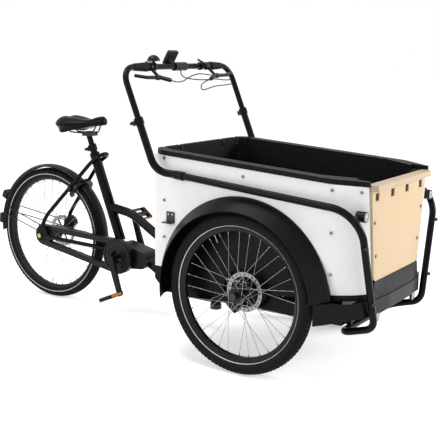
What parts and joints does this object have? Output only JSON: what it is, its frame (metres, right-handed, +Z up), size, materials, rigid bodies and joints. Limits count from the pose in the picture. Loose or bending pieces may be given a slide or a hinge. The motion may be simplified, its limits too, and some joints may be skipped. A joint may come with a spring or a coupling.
{
  "type": "cargo tricycle",
  "caption": "electrically assisted cargo tricycle with a front tub between two wheels, the whole front turning on a king pin, black frame, white sides and a plywood front",
  "frame": {"origin": "on the ground, on the mid-plane, under the middle of the overall length", "axes": "+X forwards, +Y to the rider's left, +Z up"},
  "size_m": [2.2546, 0.8866, 1.245],
  "materials": {
    "black_frame": "satin black powder coat",
    "black_casting": "black anodised",
    "rim_black": "black anodised, machined edges",
    "tyre_rubber": "black rubber with a pale stripe",
    "bright_steel": "bright drawn steel",
    "hub_alloy": "dark shell with a steel disc",
    "axle_brass": "yellow passivated",
    "tub_plastic": "fine grained black",
    "panel_white": "white gloss",
    "arch_plastic": "dark grey grained",
    "plywood": "clear lacquered birch plywood",
    "control_plastic": "black",
    "grip_rubber": "black ribbed",
    "saddle_cover": "black smooth cover"
  },
  "bodies": {
    "rear_frame": {"seat_tube": "black_frame", "upper_main_tube": "black_frame", "lower_main_tube": "black_frame", "steering_head": "black_frame", "seat_stays": "black_frame", "chain_stays": "black_frame", "motor_housing": "black_casting", "chain_case": "arch_plastic", "drive_chain": "bright_steel", "rear_axle": "axle_brass", "rear_mudguard": "arch_plastic", "rear_lamp": "control_plastic", "ring_lock_body": "arch_plastic", "rear_brake_caliper": "black_casting"},
    "seat": {"seat_post": "black_frame", "saddle_rails": "bright_steel", "saddle": "saddle_cover"},
    "seat_clamp": {"seat_clamp_lever": "black_frame"},
    "cranks": {"crankset": "black_casting"},
    "right_pedal": {"pedal_right": "control_plastic"},
    "left_pedal": {"pedal_left": "control_plastic"},
    "sprocket": {"rear_sprocket": "bright_steel"},
    "rear_wheel": {"rear_tyre": "tyre_rubber", "rear_rim": "rim_black", "rear_spokes": "bright_steel", "rear_hub": "hub_alloy"},
    "shackle": {"lock_shackle": "bright_steel"},
    "key": {"lock_key": "bright_steel"},
    "front_carriage": {"chassis_frame": "black_frame", "cargo_tub": "tub_plastic", "side_panels": "panel_white", "wheel_arches": "arch_plastic", "front_skirt": "arch_plastic", "front_board": "plywood", "bumper_rail": "black_frame", "bar_stanchions": "black_frame", "front_lamps": "control_plastic", "front_axles": "bright_steel", "front_brake_calipers": "black_casting", "screws_and_brackets": "bright_steel", "battery": "arch_plastic"},
    "front_wheel_right": {"front_tyre_right": "tyre_rubber", "front_rim_right": "rim_black", "front_spokes_right": "bright_steel", "front_hub_right": "hub_alloy"},
    "front_wheel_left": {"front_tyre_left": "tyre_rubber", "front_rim_left": "rim_black", "front_spokes_left": "bright_steel", "front_hub_left": "hub_alloy"},
    "bar": {"handlebar": "black_frame", "grips": "grip_rubber", "bar_controls": "control_plastic", "control_hoses": "control_plastic"},
    "right_brake_lever": {"brake_lever_right": "black_casting"},
    "left_brake_lever": {"brake_lever_left": "black_casting"},
    "shifter": {"shift_lever": "control_plastic"},
    "bell": {"bell_lever": "control_plastic"},
    "screen": {"display": "control_plastic"},
    "bar_clamp_right": {"bar_clamp_lever_right": "black_frame"},
    "bar_clamp_left": {"bar_clamp_lever_left": "black_frame"}
  },
  "joints": [
    {"name": "steering", "type": "hinge", "parent": "rear_frame", "child": "front_carriage", "pos_m": [0.2405, 0, 0.212], "axis": [0, 0, 1], "range_deg": [-35, 35]},
    {"name": "front_wheel_right_spin", "type": "hinge", "parent": "front_carriage", "child": "front_wheel_right", "pos_m": [0.6105, -0.394, 0.32], "axis": [0, 1, 0], "continuous": true},
    {"name": "front_wheel_left_spin", "type": "hinge", "parent": "front_carriage", "child": "front_wheel_left", "pos_m": [0.6105, 0.394, 0.32], "axis": [0, 1, 0], "continuous": true},
    {"name": "rear_wheel_spin", "type": "hinge", "parent": "rear_frame", "child": "rear_wheel", "pos_m": [-0.7515, 0, 0.3295], "axis": [0, 1, 0], "continuous": true},
    {"name": "crank_spin", "type": "hinge", "parent": "rear_frame", "child": "cranks", "pos_m": [-0.2745, 0, 0.283], "axis": [0, 1, 0], "continuous": true},
    {"name": "sprocket_spin", "type": "hinge", "parent": "rear_frame", "child": "sprocket", "pos_m": [-0.7515, -0.062, 0.3295], "axis": [0, 1, 0], "continuous": true},
    {"name": "right_pedal_spin", "type": "hinge", "parent": "cranks", "child": "right_pedal", "pos_m": [-0.22197, -0.18, 0.12132], "axis": [0, 1, 0], "continuous": true},
    {"name": "left_pedal_spin", "type": "hinge", "parent": "cranks", "child": "left_pedal", "pos_m": [-0.32703, 0.18, 0.44468], "axis": [0, 1, 0], "continuous": true},
    {"name": "bar_height", "type": "slide", "parent": "front_carriage", "child": "bar", "axis": [-0.3843, 0, 0.9232], "range_m": [-0.035, 0.06]},
    {"name": "seat_height", "type": "slide", "parent": "rear_frame", "child": "seat", "axis": [-0.3665, 0, 0.9304], "range_m": [-0.02, 0.06]},
    {"name": "bar_clamp_right_open", "type": "hinge", "parent": "front_carriage", "child": "bar_clamp_right", "pos_m": [0.09648, -0.395, 0.95181], "axis": [0.3843, 0, -0.9232], "range_deg": [0, 100]},
    {"name": "bar_clamp_left_open", "type": "hinge", "parent": "front_carriage", "child": "bar_clamp_left", "pos_m": [0.09648, 0.395, 0.95181], "axis": [-0.3843, 0, 0.9232], "range_deg": [0, 100]},
    {"name": "seat_clamp_open", "type": "hinge", "parent": "rear_frame", "child": "seat_clamp", "pos_m": [-0.50826, 0, 0.7701], "axis": [0.3665, 0, -0.9304], "range_deg": [0, 100]},
    {"name": "right_brake_squeeze", "type": "hinge", "parent": "bar", "child": "right_brake_lever", "pos_m": [0.08306, -0.225, 1.13258], "axis": [-0.6428, 0, -0.766], "range_deg": [0, 8], "stiffness_Nm_per_rad": 2, "springref_deg": -1.72},
    {"name": "left_brake_squeeze", "type": "hinge", "parent": "bar", "child": "left_brake_lever", "pos_m": [0.08306, 0.225, 1.13258], "axis": [0.6428, 0, 0.766], "range_deg": [0, 8], "stiffness_Nm_per_rad": 2, "springref_deg": -1.72},
    {"name": "shift_push", "type": "hinge", "parent": "bar", "child": "shifter", "pos_m": [0.06453, 0.16, 1.18206], "axis": [0.6428, 0, 0.766], "range_deg": [0, 25], "stiffness_Nm_per_rad": 0.4, "springref_deg": -2.86},
    {"name": "bell_strike", "type": "hinge", "parent": "bar", "child": "bell", "pos_m": [0.0325, -0.185, 1.1934], "axis": [0, 0, 1], "range_deg": [0, 30], "stiffness_Nm_per_rad": 0.2, "springref_deg": -2.86},
    {"name": "screen_tilt", "type": "hinge", "parent": "bar", "child": "screen", "pos_m": [0.0025, -0.027, 1.183], "axis": [0, 1, 0], "range_deg": [-20, 20]},
    {"name": "lock_close", "type": "hinge", "parent": "rear_frame", "child": "shackle", "pos_m": [-0.56059, 0, 0.56864], "axis": [0.7815, 0, -0.6239], "range_deg": [0, 104], "stiffness_Nm_per_rad": 0.1, "springref_deg": -11.46},
    {"name": "key_turn", "type": "hinge", "parent": "rear_frame", "child": "key", "pos_m": [-0.56862, 0.04664, 0.53776], "axis": [-0.7815, 0, 0.6239], "range_deg": [0, 90]}
  ],
  "couplings": [
    {"joint": "sprocket_spin", "follows": "crank_spin", "ratio": 1.8889}
  ]
}
